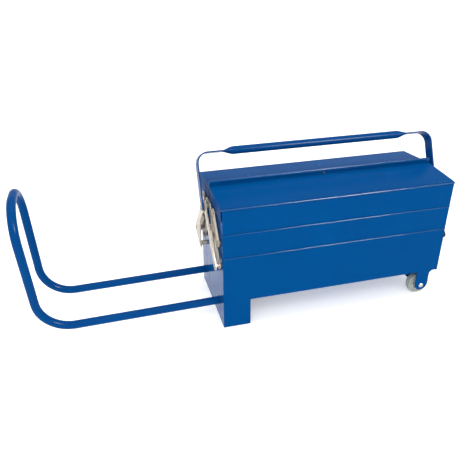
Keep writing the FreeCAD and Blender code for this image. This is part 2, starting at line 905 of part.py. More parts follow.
def rivet(name, grip, shoulder, outer_radius):
    """Shoulder rivet turned about X: inner head, sheet, shoulder, arm and outer head."""
    piece = Piece(name, kept=False)
    shank = S["pivot_radius"]
    inner = S["panel_gauge"] + 1.2
    profile = piece.sketch("XY", 0)
    polygon(
        profile,
        [
            (inner, 0),
            (inner, shank + 1.5),
            (S["panel_gauge"], shank + 1.5),
            (S["panel_gauge"], shank),
            (0, shank),
            (0, outer_radius),
            (-shoulder, outer_radius),
            (-shoulder, shank),
            (-grip, shank),
            (-grip, S["rivet_head_radius"]),
            (-grip - 0.7, S["rivet_head_radius"]),
            (-grip - S["rivet_head_height"], S["rivet_head_radius"] - 1.6),
            (-grip - S["rivet_head_height"], 0),
        ],
    )
    piece.spin(profile, "H_Axis")
    return piece.body.Shape


def end_place(end_name, across, up):
    """A place on the outside of one end of the box, facing outwards."""
    if end_name == "foot":
        return Placement(Vector(left.value, across.value, up.value), Rotation())
    return Placement(Vector(right.value, across.value, up.value), Rotation(Z_AXIS, 180))


def at_both_ends(shape, across, up):
    """A rivet through the foot end, and its mirror image through the wheel end."""
    return [moved(shape, end_place(name, across, up)) for name in ("foot", "wheel")]


def rivets():
    shoulder = S["arm_offset"] - 0.1
    grip = S["arm_offset"] + S["arm_gauge"] + 0.1
    pivot = rivet("arm_rivet", grip, shoulder, S["boss_radius"])
    across, up = lower_low
    group(
        "base_arm_rivets",
        at_both_ends(pivot, across, up) + at_both_ends(pivot, -across, up),
    )
    for side_name, sign in (("front", 1), ("rear", -1)):
        for tray_name, pivots in (
            ("mid", (long_mid, lower_top, upper_low)),
            ("top", (long_top, upper_top)),
        ):
            solids = []
            for across, up in pivots:
                solids += at_both_ends(pivot, across * sign, up)
            group(f"{side_name}_{tray_name}_tray_rivets", solids)


# ---- handle carrier and carrying handle -----------------------------------------------------
def carrier_leg(label, side, x, cranked):
    """Bare steel leg from a base stud up to the handle pivot. A cranked one has a lower arm."""
    foot = (long_low[0] * side, long_low[1])
    apex = (as_size(0), S["handle_pivot"])
    width = S["carrier_half_width"]
    piece = Piece(label, bar_place(foot[0], foot[1], apex, x))
    outline = piece.sketch("XY", 0)
    slot(outline, carrier_reach, width)
    circle(outline, 0, 0, S["pivot_radius"])
    circle(outline, carrier_reach, 0, S["handle_pin_radius"])
    piece.pad(outline, S["carrier_gauge"])
    if not cranked:
        return
    along_y = -foot[0] / carrier_reach
    along_z = (S["handle_pivot"] - foot[1]) / carrier_reach
    drop_y, drop_z = -S["crank_across"], -S["crank_down"]
    end_x = drop_y * along_y + drop_z * along_z
    end_y = drop_z * along_y - drop_y * along_z
    reach = root(end_x * end_x + end_y * end_y)
    side_x, side_y = -end_y / reach * width, end_x / reach * width
    lower = piece.sketch("XY", 0)
    polygon(
        lower,
        [
            (side_x, side_y),
            (-side_x, -side_y),
            (end_x - side_x, end_y - side_y),
            (end_x + side_x, end_y + side_y),
        ],
    )
    piece.pad(lower, S["carrier_gauge"])
    web = piece.sketch("XY", 0)
    polygon(
        web,
        [
            (0, 0),
            (carrier_reach * S["web_share"], 0),
            (carrier_reach * S["web_share"], width),
            (end_x - side_x, end_y - side_y),
            (end_x, end_y),
        ],
    )
    piece.pad(web, S["carrier_gauge"])
    rounding = piece.sketch("XY", 0)
    circle(rounding, end_x, end_y, width)
    piece.pad(rounding, S["carrier_gauge"])
    holes = piece.sketch("XY", 0)
    circle(holes, 0, 0, S["pivot_radius"])
    circle(holes, end_x, end_y, S["pivot_radius"])
    piece.bore(holes)


def stud(name, leg_in, with_arm):
    """Stud through the base's end: shoulder, long arm if it carries one, leg and outer head."""
    piece = Piece(name, kept=False)
    shank = S["pivot_radius"]
    boss = S["boss_radius"]
    inner = S["panel_gauge"] + 1.2
    arm_in = S["arm_offset"] - 0.1
    arm_out = S["arm_offset"] + S["arm_gauge"] + 0.1
    leg_out = leg_in + S["carrier_gauge"]
    head = S["rivet_head_radius"]
    arm_seat = [(-arm_in, boss), (-arm_in, shank), (-arm_out, shank), (-arm_out, boss)]
    profile = piece.sketch("XY", 0)
    polygon(
        profile,
        [
            (inner, 0),
            (inner, shank + 1.5),
            (S["panel_gauge"], shank + 1.5),
            (S["panel_gauge"], shank),
            (0, shank),
            (0, boss),
            *(arm_seat if with_arm else []),
            (-leg_in, boss),
            (-leg_in, shank),
            (-leg_out, shank),
            (-leg_out, head),
            (-leg_out - 0.7, head),
            (-leg_out - S["rivet_head_height"], head - 1.6),
            (-leg_out - S["rivet_head_height"], 0),
        ],
    )
    piece.spin(profile, "H_Axis")
    return piece.body.Shape


def handle_pin(name, leg_in):
    """Shoulder pin through both crossing legs and the strap of the carrying handle."""
    piece = Piece(name, kept=False)
    shank = S["handle_pin_radius"]
    head = S["handle_head_radius"]
    leg_out = leg_in + S["carrier_layer"] + S["carrier_gauge"]
    strap_in = S["handle_offset"] - 0.1
    strap_out = S["handle_offset"] + S["strap_gauge"] + 0.1
    profile = piece.sketch("XY", 0)
    polygon(
        profile,
        [
            (-leg_in + 1.4, 0),
            (-leg_in + 1.4, head - 1),
            (-leg_in, head - 1),
            (-leg_in, shank),
            (-leg_out, shank),
            (-leg_out, head + 1),
            (-strap_in, head + 1),
            (-strap_in, shank),
            (-strap_out, shank),
            (-strap_out, head),
            (-strap_out - 0.7, head),
            (-strap_out - 1.8, head - 2),
            (-strap_out - 1.8, 0),
        ],
    )
    piece.spin(profile, "H_Axis")
    return piece.body.Shape


def carriers():
    """At each end the front leg lies inside and the cranked rear leg outside it."""
    studs, pins = [], []
    for end_name, offset in (("foot", "carrier_offset"), ("wheel", "wheel_carrier_offset")):
        inner = S[offset]
        outer = inner + S["carrier_layer"]
        for side_name, side, leg_in in (("front", 1, inner), ("rear", -1, outer)):
            x = right + leg_in if end_name == "wheel" else left - leg_in - S["carrier_gauge"]
            label = f"{side_name}_{end_name}_end_carrier_leg"
            carrier_leg(label, side, x, cranked=side_name == "rear")
            shape = stud(f"{side_name}_{end_name}_stud", leg_in, with_arm=True)
            studs.append(moved(shape, end_place(end_name, long_low[0] * side, long_low[1])))
        shape = stud(f"{end_name}_crank_stud", outer, with_arm=False)
        studs.append(moved(shape, end_place(end_name, crank_foot[0], crank_foot[1])))
        pin = handle_pin(f"{end_name}_handle_pin", inner)
        pins.append(moved(pin, end_place(end_name, as_size(0), S["handle_pivot"])))
    group("carrier_studs", studs)
    group("handle_pivot_pins", pins)


def mix(start, end, share):
    return start + (end - start) * share


def carry_handle():
    """Tube grip with both ends flattened, bent down and pivoted. Drawn upright about its pivot."""
    lean = Rotation(X_AXIS, -S["handle_lean"].value)
    pivot = Vector(middle_x.value, 0, S["handle_pivot"].value)
    piece = Piece("carry_handle", Placement(pivot, lean))
    half = S["grip_length"] / 2
    reach = S["handle_reach"]
    outside = S["length"] / 2 + S["handle_offset"]
    gauge = S["strap_gauge"]
    grip = piece.sketch("YZ", -half)
    circle(grip, 0, reach, S["grip_radius"])
    piece.pad(grip, S["grip_length"])
    for side in (-1, 1):
        wide = piece.sketch("YZ", half * side)
        circle(wide, 0, reach, S["grip_radius"])
        waists = []
        for along_taper, flattened in ((0.3, 0.2), (0.6, 0.62), (1, 1)):
            waist = piece.sketch("YZ", (half + S["grip_taper"] * along_taper) * side)
            half_width = mix(S["grip_radius"], S["strap_width"] / 2, flattened)
            half_height = mix(S["grip_radius"], gauge / 2, flattened)
            ellipse(waist, reach, half_width, half_height)
            waists.append(waist)
        piece.loft(wide, *waists)
        strap = piece.sketch("XZ", 0)
        inner_x = (outside) * side
        outer_x = (outside + gauge) * side
        polygon(
            strap,
            [
                ((half + S["grip_taper"] - 4) * side, reach + gauge / 2),
                (outer_x, reach + gauge / 2),
                (outer_x, -S["strap_tip"]),
                (inner_x, -S["strap_tip"]),
                (inner_x, reach - gauge / 2),
                ((half + S["grip_taper"] - 4) * side, reach - gauge / 2),
            ],
        )
        piece.pad(strap, S["strap_width"], both_ways=True)
        corner = reach.value
        piece.fillet(
            lambda edge: along(edge, Y_AXIS)
            and near(edge.Vertexes[0].X, inner_x)
            and edge.Vertexes[0].Z > corner - 3,
            S["strap_bend"],
        )
        piece.fillet(
            lambda edge: along(edge, Y_AXIS)
            and near(edge.Vertexes[0].X, outer_x)
            and edge.Vertexes[0].Z > corner - 3,
            S["strap_bend"] + gauge,
        )
        piece.fillet(
            lambda edge: along(edge, X_AXIS)
            and near(edge.Vertexes[0].Z, -S["strap_tip"])
            and edge.Vertexes[0].X * side > 0,
            S["strap_tip"],
        )
    hole = piece.sketch("YZ", 0)
    circle(hole, 0, 0, S["handle_pin_radius"] + S["pivot_clearance"])
    piece.bore(hole)


def ellipse(drawing, up, half_width, half_height):
    """An ellipse centred on the vertical axis of a sketch, wider than it is high."""
    centre = Vector(0, up.value, 0)
    across = Vector(half_width.value, up.value, 0)
    above = Vector(0, up.value + half_height.value, 0)
    geometry = drawing.addGeometry(Part.Ellipse(across, above, centre))
    drawing.exposeInternalGeometry(geometry)
    pin_point(drawing, geometry, 3, 0, up)
    pin_point(drawing, geometry + 1, 2, half_width, up)
    number = drawing.addConstraint(
        Sketcher.Constraint("Distance", geometry + 2, 2 * half_height.value)
    )
    drawing.setExpression(f"Constraints[{number}]", (half_height * 2).text)


# ---- pull handle ---------------------------------------------------------------------------
rod_direction = Vector(
    math.cos(math.radians(S["rod_slope"].value)), 0, math.sin(math.radians(S["rod_slope"].value))
)


def rod_point(side, distance):
    """A point on a rod's axis, at a distance inwards from the foot plate's outer face."""
    start = Vector(left.value, side * S["rod_spacing"].value / 2, S["rod_height"].value)
    return start + rod_direction * distance


def bend(corner_start, incoming, outgoing, radius):
    """An arc that leaves a point along one direction and ends along another."""
    angle = incoming.getAngle(outgoing)
    cut_back = radius * math.tan(angle / 2)
    corner = corner_start + incoming * cut_back
    end = corner + outgoing * cut_back
    inward = outgoing - incoming
    inward.normalize()
    depth = radius * (1 / math.cos(angle / 2) - 1)
    return Part.Arc(corner_start, corner + inward * depth, end).toShape(), end


def pull_handle_path():
    outwards = rod_direction * -1
    turn = math.radians(S["rod_bend_angle"].value)
    upwards = Rotation(Y_AXIS, math.degrees(turn)).multVec(outwards)
    upwards.y = math.tan(math.radians(S["rod_splay"].value))
    upwards.normalize()
    across = Vector(0, -1, 0)
    edges = []
    start = rod_point(1, S["rod_in"].value)
    end = rod_point(1, -S["rod_out"].value)
    edges.append(Part.makeLine(start, end))
    arc, point = bend(end, outwards, upwards, S["rod_bend"].value)
    edges.append(arc)
    top = point + upwards * S["upright"].value
    edges.append(Part.makeLine(point, top))
    arc, point = bend(top, upwards, across, S["top_bend"].value)
    edges.append(arc)
    halves = edges + [mirrored(edge) for edge in reversed(edges)]
    bridge = Part.makeLine(point, Vector(point.x, -point.y, point.z))
    return Part.Wire(Part.__sortEdges__(halves + [bridge])), start


def mirrored(edge):
    return edge.mirror(Vector(0, 0, 0), Y_AXIS)


def pull_handle():
    path, start = pull_handle_path()
    solids = []
    for radius in (S["rod_radius"].value, (S["rod_radius"] - S["rod_wall"]).value):
        section = Part.Wire(Part.makeCircle(radius, start, rod_direction * -1))
        solids.append(path.makePipeShell([section], True, True))
    item = doc.addObject("Part::Feature", "pull_handle_tube")
    item.Shape = solids[0].cut(solids[1])
    keep(item, "pull_handle_tube")


def sleeve(point, length, radius, bore):
    outer = Part.makeCylinder(radius, length, point, rod_direction)
    return outer.cut(Part.makeCylinder(bore, length, point, rod_direction))


def rod_bushes():
    """Bushes in the foot plate, flush with its outside and flanged inside it."""
    bore = (S["rod_radius"] + S["rod_clearance"]).value
    gauge = S["panel_gauge"].value
    solids = []
    for side in (1, -1):
        body = sleeve(rod_point(side, -0.3), gauge + 8, S["bush_radius"].value, bore)
        flange = sleeve(rod_point(side, gauge + 0.3), 2.0, S["bush_flange_radius"].value, bore)
        solids.append(body.fuse(flange).removeSplitter())
    group("foot_plate_bushes", solids)


def inner_guide():
    """Folded cross member under the floor that steadies the rods."""
    piece = Piece("inner_rod_guide")
    x = left + S["guide_inset"]
    half = S["rod_spacing"] / 2 + S["guide_margin"]
    rise = S["guide_inset"].value * math.tan(math.radians(S["rod_slope"].value))
    gauge = S["cheek_gauge"]
    web = piece.sketch("YZ", x)
    corner_z = S["rod_height"] - 2
    bottom_z = S["rod_height"] - S["guide_margin"]
    corner = corner_z - bottom_z
    polygon(
        web,
        [
            (-half, S["floor_height"]),
            (-half, corner_z),
            (corner - half, bottom_z),
            (half - corner, bottom_z),
            (half, corner_z),
            (half, S["floor_height"]),
        ],
    )
    piece.pad(web, gauge)
    foot = piece.sketch("XY", S["floor_height"] - gauge)
    rectangle(foot, x, -half, x - 18, half)
    piece.pad(foot, gauge)
    holes = piece.sketch("YZ", x)
    for side in (1, -1):
        circle(
            holes,
            S["rod_spacing"] / 2 * side,
            S["rod_height"] + rise,
            S["rod_radius"] + 0.25,
        )
    piece.bore(holes)


def rod_stops():
    """Collars pinned on the rods' inner ends: they meet the inner guide when the handle is out."""
    solids = []
    distance = S["rod_in"].value - S["stop_length"].value - 1
    for side in (1, -1):
        solids.append(
            sleeve(
                rod_point(side, distance),
                S["stop_length"].value,
                S["stop_radius"].value,
                S["rod_radius"].value,
            )
        )
    group("rod_stop_collars", solids)


# ---- assembly ------------------------------------------------------------------------------
straight = Placement()

side_panel("front_panel", straight)
# The rear panel is the front one mirrored, because its leg is at the foot end too.
mirror_panel = doc.addObject("Part::Mirroring", "rear_panel")
mirror_panel.Source = nodes[0]
mirror_panel.Normal = Y_AXIS
keep(mirror_panel, "rear_panel")
foot_plate()
wheel_end_plate()
floor_pan()

for name, place in (("front", straight), ("rear", half_turn_across(straight))):
    wheel_cheek(f"{name}_wheel_cheek", place)
    axle(f"{name}_axle", place)
    wheel(name, place)
axle_spacers()

for name, place, turn in (
    ("front", straight, straight.multiply),
    ("rear", half_turn(straight), half_turn),
):
    mid_tray(name, place)
    top_tray(name, place)
    lid(name, place)
    lid_end_plates(name, place)
    hinge(name, place)
    arms(name, turn)
rivets()
carriers()
carry_handle()

pull_handle()
rod_bushes()
inner_guide()
rod_stops()

doc.recompute()

# ---- checks and export ---------------------------------------------------------------------
for item in doc.Objects:
    if "Invalid" in item.State or "Error" in item.State:
        raise RuntimeError(f"{item.Label} did not build: {item.State}")
for node in nodes:
    if node.Shape.isNull() or not node.Shape.isValid():
        raise RuntimeError(f"{node.Label} has no valid shape")

os.makedirs("parts", exist_ok=True)
for node in nodes:
    node.Shape.exportStep(f"parts/{node.Label}.step")
    print(f"{node.Label}: {len(node.Shape.Solids)} solid(s), {node.Shape.Volume / 1000:.1f} cm3")
print(len(nodes), "nodes")
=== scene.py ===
import json
import math

import bmesh
import bpy
from mathutils import Matrix, Vector


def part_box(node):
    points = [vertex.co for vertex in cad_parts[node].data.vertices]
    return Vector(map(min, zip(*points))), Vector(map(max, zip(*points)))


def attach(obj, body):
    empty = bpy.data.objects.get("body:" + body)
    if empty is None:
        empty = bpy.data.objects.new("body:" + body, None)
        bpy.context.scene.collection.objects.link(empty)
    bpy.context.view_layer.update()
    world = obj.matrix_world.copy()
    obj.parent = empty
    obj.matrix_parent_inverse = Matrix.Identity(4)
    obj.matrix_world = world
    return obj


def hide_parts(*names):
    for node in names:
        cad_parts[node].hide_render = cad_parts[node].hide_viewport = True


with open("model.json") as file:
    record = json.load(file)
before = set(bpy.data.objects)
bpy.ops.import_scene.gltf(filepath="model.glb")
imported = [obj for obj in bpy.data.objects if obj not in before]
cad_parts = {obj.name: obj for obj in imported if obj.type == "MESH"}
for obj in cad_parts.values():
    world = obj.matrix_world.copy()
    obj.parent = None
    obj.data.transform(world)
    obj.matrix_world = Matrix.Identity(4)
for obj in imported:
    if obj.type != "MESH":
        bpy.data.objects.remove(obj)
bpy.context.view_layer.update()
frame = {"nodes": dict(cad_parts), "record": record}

# A wheeled cantilever tool box in glossy blue sheet steel, standing on a white floor.
# Metres, +Z up, +X from the foot end to the wheels, +Y from front to rear.

MM = 0.001
NODES = frame["nodes"]
SHEET_GAUGE = 1.0 * MM
LID_SLOPE = 0.074  # rise of a lid per unit of depth
CRANK_FOOT = Vector((0, 47.8, 128.0)) * MM  # lower stud of the cranked rear carrier leg


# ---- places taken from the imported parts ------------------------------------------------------
def low(node):
    return Vector(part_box(node)[0])


def high(node):
    return Vector(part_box(node)[1])


def joint_place(name):
    return Vector(JOINTS[name]["pos_m"])


JOINTS = {joint["name"]: joint for joint in frame["record"]["behaviour"]["joints"]}
LEFT, RIGHT = low("front_top_tray").x, high("front_top_tray").x
FRONT, REAR = low("front_top_tray").y, high("rear_top_tray").y
FLOOR_Z = low("floor_pan").z
PANEL_Y = {"front": FRONT, "rear": REAR}
ENDS = {"foot": -1, "wheel": 1}  # outward direction along X
SIDES = {"front": -1, "rear": 1}  # outward direction along Y


# ---- shader helpers --------------------------------------------------------------------------
class Shader:
    """A node tree with short calls for the nodes that the materials here need."""

    def __init__(self, name):
        self.material = bpy.data.materials.new(name)
        self.material.use_nodes = True
        self.tree = self.material.node_tree
        self.principled = self.tree.nodes["Principled BSDF"]
        self.place = self.add("ShaderNodeTexCoord").outputs["Object"]

    def add(self, kind, **settings):
        node = self.tree.nodes.new(kind)
        for key, value in settings.items():
            setattr(node, key, value)
        return node

    def wire(self, output, socket):
        self.tree.links.new(output, socket)

    def set(self, **values):
        for name, value in values.items():
            self.principled.inputs[name.replace("_", " ")].default_value = value

    def stretched(self, scale):
        mapping = self.add("ShaderNodeMapping")
        mapping.inputs["Scale"].default_value = scale
        self.wire(self.place, mapping.inputs["Vector"])
        return mapping.outputs["Vector"]

    def noise(self, scale, detail=4.0, rough=0.5, stretch=None):
        node = self.add("ShaderNodeTexNoise")
        node.inputs["Scale"].default_value = scale
        node.inputs["Detail"].default_value = detail
        node.inputs["Roughness"].default_value = rough
        self.wire(self.stretched(stretch) if stretch else self.place, node.inputs["Vector"])
        return node.outputs["Fac"]

    def span(self, value, from_low, from_high, to_low=0.0, to_high=1.0):
        node = self.add("ShaderNodeMapRange")
        for name, number in (
            ("From Min", from_low),
            ("From Max", from_high),
            ("To Min", to_low),
            ("To Max", to_high),
        ):
            node.inputs[name].default_value = number
        self.wire(value, node.inputs["Value"])
        return node.outputs["Result"]

    def blend(self, factor, first, second):
        node = self.add("ShaderNodeMix", data_type="RGBA")
        self.wire(factor, node.inputs["Factor"])
        for socket, colour in ((node.inputs["A"], first), (node.inputs["B"], second)):
            if isinstance(colour, tuple):
                socket.default_value = colour
            else:
                self.wire(colour, socket)
        return node.outputs["Result"]

    def gap_shade_mask(self, reach):
        """Mask for painted shade: 0 in narrow gaps between parts, 1 on open faces."""
        node = self.add("ShaderNodeAmbientOcclusion", samples=8)
        node.inputs["Distance"].default_value = reach
        return self.span(node.outputs["AO"], 0.25, 0.85)

    def bump(self, height, strength, distance):
        node = self.add("ShaderNodeBump")
        node.inputs["Strength"].default_value = strength
        node.inputs["Distance"].default_value = distance
        self.wire(height, node.inputs["Height"])
        self.wire(node.outputs["Normal"], self.principled.inputs["Normal"])
        return node


def soft_edges(shader, bump, radius):
    """Catch the light along sheet edges as a small round, under the fine bump."""
    rounding = shader.add("ShaderNodeBevel", samples=6)
    rounding.inputs["Radius"].default_value = radius
    shader.wire(rounding.outputs["Normal"], bump.inputs["Normal"])


def enamel(name, colour, darker, roughness=0.2, shine=0.012):
    """Stove enamel: a slight mottle in the colour, orange peel, dust and small rubs."""
    shader = Shader(name)
    shader.set(Coat_Weight=0.0, IOR=1.5, Specular_IOR_Level=shine)
    mottle = shader.span(shader.noise(9.0, 5.0), 0.3, 0.7)
    base = shader.blend(mottle, darker, colour)
    rubs = shader.span(shader.noise(160.0, 6.0, 0.7), 0.68, 0.8, 0.0, 0.22)
    pale = shader.blend(rubs, base, (0.01, 0.13, 0.33, 1.0))
    shader.wire(pale, shader.principled.inputs["Base Color"])
    smear = shader.noise(26.0, 6.0, 0.6, (1.0, 1.0, 0.35))
    rough = shader.span(smear, 0.3, 0.7, roughness * 0.75, roughness * 1.5)
    shader.wire(rough, shader.principled.inputs["Roughness"])
    peel = shader.bump(shader.noise(420.0, 2.0), 0.08, 0.00025)
    soft_edges(shader, peel, 0.0007)
    return shader.material


def bare_steel(name, colour=(0.54, 0.48, 0.40, 1.0), metallic=0.7):
    """Zinc plated strip: rolled grain, dull spangle, brown tarnish in places, and painted shade
    in the gaps between parts.
    """
    shader = Shader(name)
    shader.set(Metallic=metallic)
    grain = shader.noise(900.0, 3.0, 0.6, (1.0, 0.06, 0.06))
    cloud = shader.noise(60.0, 5.0, 0.6)
    shade = shader.blend(
        shader.span(cloud, 0.35, 0.65), colour, tuple(c * 0.74 for c in colour[:3]) + (1.0,)
    )
    tarnish = shader.span(shader.noise(130.0, 6.0, 0.7), 0.62, 0.75, 0.0, 0.5)
    stained = shader.blend(tarnish, shade, (0.22, 0.15, 0.09, 1.0))
    # painted shade: the strip turns near black where other parts come within 5 mm, standing in
    # for the shadow in the gaps
    painted_gap_shade = shader.blend(shader.gap_shade_mask(5 * MM), (0.055, 0.045, 0.035, 1.0), stained)
    shader.wire(painted_gap_shade, shader.principled.inputs["Base Color"])
    shader.wire(shader.span(cloud, 0.3, 0.7, 0.34, 0.52), shader.principled.inputs["Roughness"])
    soft_edges(shader, shader.bump(grain, 0.12, 0.0002), 0.0004)
    return shader.material


def moulded(name, colour, roughness=0.5):
    """Moulded plastic: fine spark-eroded grain with a faint flow mottle and floor dirt."""
    shader = Shader(name)
    shader.set(Specular_IOR_Level=0.25)
    cloud = shader.noise(70.0, 4.0, 0.6)
    darker = tuple(c * 0.78 for c in colour[:3]) + (1.0,)
    shade = shader.blend(shader.span(cloud, 0.35, 0.65), colour, darker)
    dirt = shader.span(shader.noise(210.0, 6.0, 0.7), 0.6, 0.76, 0.0, 0.45)
    dirty = shader.blend(dirt, shade, tuple(c * 0.45 for c in colour[:3]) + (1.0,))
    shader.wire(dirty, shader.principled.inputs["Base Color"])
    shader.wire(
        shader.span(cloud, 0.3, 0.7, roughness * 0.85, roughness * 1.2),
        shader.principled.inputs["Roughness"],
    )
    soft_edges(shader, shader.bump(shader.noise(1500.0, 2.0), 0.2, 0.0002), 0.0005)
    return shader.material


# Copies of the same blue: flat sheet, the smoother end plates, a darker copy as painted shade on
# the lid ends, the glossy crown of rolled edges (slightly paler, a painted highlight), and tube.
BLUE = enamel("blue_enamel", (0.0, 0.063, 0.225, 1.0), (0.0, 0.056, 0.205, 1.0))
BLUE_END = enamel(
    "blue_end_enamel", (0.0, 0.060, 0.225, 1.0), (0.0, 0.054, 0.20, 1.0), 0.16, 0.055
)
# a darker copy of the blue: painted shade on the lid end plates and their hems
BLUE_PAINTED_SHADE = enamel(
    "blue_painted_shade_enamel", (0.0, 0.04, 0.16, 1.0), (0.0, 0.033, 0.14, 1.0), 0.35, 0.008
)
# glossy enamel; its slightly paler colour is a painted highlight along rolled edges, hinge leaves
# and rivets
BLUE_ROLL_PAINTED_HIGHLIGHT = enamel(
    "blue_roll_painted_highlight_enamel", (0.0, 0.07, 0.24, 1.0), (0.0, 0.06, 0.22, 1.0), 0.16, 0.18
)
BLUE_TUBE = enamel(
    "blue_tube_enamel", (0.0, 0.054, 0.205, 1.0), (0.0, 0.045, 0.18, 1.0), 0.2, 0.03
)
STEEL = bare_steel("bare_steel")
BRIGHT = bare_steel("bright_rivet", (0.62, 0.67, 0.72, 1.0), 0.6)
DARK = bare_steel("dark_rivet", (0.16, 0.13, 0.10, 1.0), 0.7)
WHEEL = moulded("wheel_plastic", (0.50, 0.54, 0.51, 1.0), 0.42)
TYRE = moulded("tyre_rubber", (0.34, 0.38, 0.36, 1.0), 0.6)
BLACK = moulded("black_plastic", (0.02, 0.02, 0.023, 1.0), 0.45)

BY_SLOT = {
    "blue_sheet": BLUE,
    "blue_tube": BLUE_TUBE,
    "bare_steel": STEEL,
    "dark_plastic": BLACK,
    "wheel_plastic": WHEEL,
    "tyre_rubber": TYRE,
}

BY_NODE = {
    "foot_end_plate": BLUE_END,
    "wheel_end_plate": BLUE_END,
    "front_lid_end_plates": BLUE_PAINTED_SHADE,
    "rear_lid_end_plates": BLUE_PAINTED_SHADE,
    "front_hinge_lid_leaf": BLUE_ROLL_PAINTED_HIGHLIGHT,
    "rear_hinge_lid_leaf": BLUE_ROLL_PAINTED_HIGHLIGHT,
    "front_hinge_tray_leaf": BLUE_ROLL_PAINTED_HIGHLIGHT,
    "rear_hinge_tray_leaf": BLUE_ROLL_PAINTED_HIGHLIGHT,
}


def paint_parts():
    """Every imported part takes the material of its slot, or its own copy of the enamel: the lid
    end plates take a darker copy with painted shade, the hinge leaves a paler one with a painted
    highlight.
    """
    for row in frame["record"]["subparts"]:
        part = NODES[row["node"]]
        part.data.materials.clear()
        part.data.materials.append(BY_NODE.get(row["node"], BY_SLOT[row["material_slot"]]))


# ---- mesh helpers ----------------------------------------------------------------------------
def piece_from(build, name, body, material, smooth_angle=40.0):
    """Close a bmesh into a finished piece that rides on a body."""
    bmesh.ops.recalc_face_normals(build, faces=build.faces)
    mesh = bpy.data.meshes.new(name)
    build.to_mesh(mesh)
    build.free()
    mesh.materials.append(material)
    mesh.shade_smooth()
    mesh.set_sharp_from_angle(angle=math.radians(smooth_angle))
    item = bpy.data.objects.new(name, mesh)
    bpy.context.collection.objects.link(item)
    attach(item, body)
    return item


def skin(build, rings):
    """Faces between neighbouring rings of points, with both ends closed."""
    rows = [[build.verts.new(point) for point in ring] for ring in rings]
    count = len(rows[0])
    for one, other in zip(rows, rows[1:]):
        for k in range(count):
            n = (k + 1) % count
            build.faces.new((one[k], one[n], other[n], other[k]))
    build.faces.new(rows[0])
    build.faces.new(list(reversed(rows[-1])))


def close_round(build, columns):
    """Faces of a section swept once round an axis."""
    for k, here in enumerate(columns):
        following = columns[(k + 1) % len(columns)]
        for m in range(len(here)):
            n = (m + 1) % len(here)
            build.faces.new((here[m], here[n], following[n], following[m]))


def frame_across(direction):
    """Two unit vectors square to a direction and to each other."""
    helper = Vector((0, 0, 1)) if abs(direction.z) < 0.9 else Vector((0, 1, 0))
    one = direction.cross(helper).normalized()
    return one, direction.cross(one).normalized()


def spokes(axis, sides):
    """Unit vectors all round an axis."""
    one, two = frame_across(axis)
    turns = [2 * math.pi * k / sides for k in range(sides)]
    return [one * math.cos(turn) + two * math.sin(turn) for turn in turns]


def add_tube(build, path, radius, sides=12):
    """A round bead along a path of points, with domed ends."""
    first = (path[1] - path[0]).normalized()
    rays = spokes(first, sides)
    rings = []

    def ring(centre, size):
        return [centre + ray * size for ray in rays]

    end_shares = (0.15, 0.5, 0.8, 1.0)
    for share in end_shares:
        back = math.sqrt(1 - share * share) * radius
        rings.append(ring(path[0] - first * back, radius * share))
    for point in path[1:-1]:
        rings.append(ring(point, radius))
    final = (path[-1] - path[-2]).normalized()
    for share in reversed(end_shares):
        ahead = math.sqrt(1 - share * share) * radius
        rings.append(ring(path[-1] + final * ahead, radius * share))
    skin(build, rings)


def add_lathe(build, place, axis, profile, sides=28):
    """A profile of (distance along the axis, radius) turned about an axis."""
    axis = Vector(axis).normalized()
    place = Vector(place)
    rays = spokes(axis, sides)
    rings = [[place + axis * height + ray * radius for ray in rays] for height, radius in profile]
    skin(build, rings)


def add_washer(build, place, axis, inner, outer, thickness, sides=32):
    """A flat ring with a broken outer edge."""
    axis = Vector(axis).normalized()
    place = Vector(place)
    chamfer = min(0.2 * MM, thickness * 0.4)
    section = [
        (0.0, inner),
        (0.0, outer - chamfer),
        (chamfer, outer),
        (thickness - chamfer, outer),
        (thickness, outer - chamfer),
        (thickness, inner),
    ]
    columns = [
        [build.verts.new(place + axis * h + ray * r) for h, r in section]
        for ray in spokes(axis, sides)
    ]
    close_round(build, columns)


def dome(radius, height, flat=0.0):
    """Profile of a snap head: a short rim, then a dome down to a small flat."""
    steps = 7
    rim = height * 0.22
    points = [(0.0, radius), (rim, radius)]
    for k in range(1, steps + 1):
        turn = math.pi / 2 * k / steps
        points.append((rim + (height - rim) * math.sin(turn), max(radius * math.cos(turn), flat)))
    return points


# ---- rivets and washers --------------------------------------------------------------------
HEAD_RADIUS = 5.1 * MM
HEAD_HEIGHT = 1.9 * MM
ARM_HEAD_HEIGHT = 1.75 * MM
HEAD_FLAT = 0.9 * MM
WASHER_RADIUS = 7.2 * MM
WASHER_GAUGE = 0.45 * MM
SEAT_GAP = 0.12 * MM
RIM_RADIUS = 18.5 * MM  # wheel hub, inside the tyre


def arm_pivots(side):
    """Pivot places of one side's linkage, by the body that carries the rivet."""
    long_low = joint_place(f"{side}_open")
    lower_low = joint_place(f"{side}_lower_arm_turn")
    long_mid = joint_place(f"{side}_mid_tray_turn")
    upper_low = joint_place(f"{side}_upper_arm_turn")
    long_top = joint_place(f"{side}_top_tray_turn")
    lower_top = lower_low + long_mid - long_low
    upper_top = upper_low + long_top - long_mid
    return {
        "base": [lower_low],
        f"{side}_mid_tray_body": [long_mid, lower_top, upper_low],
        f"{side}_top_tray_body": [long_top, upper_top],
    }


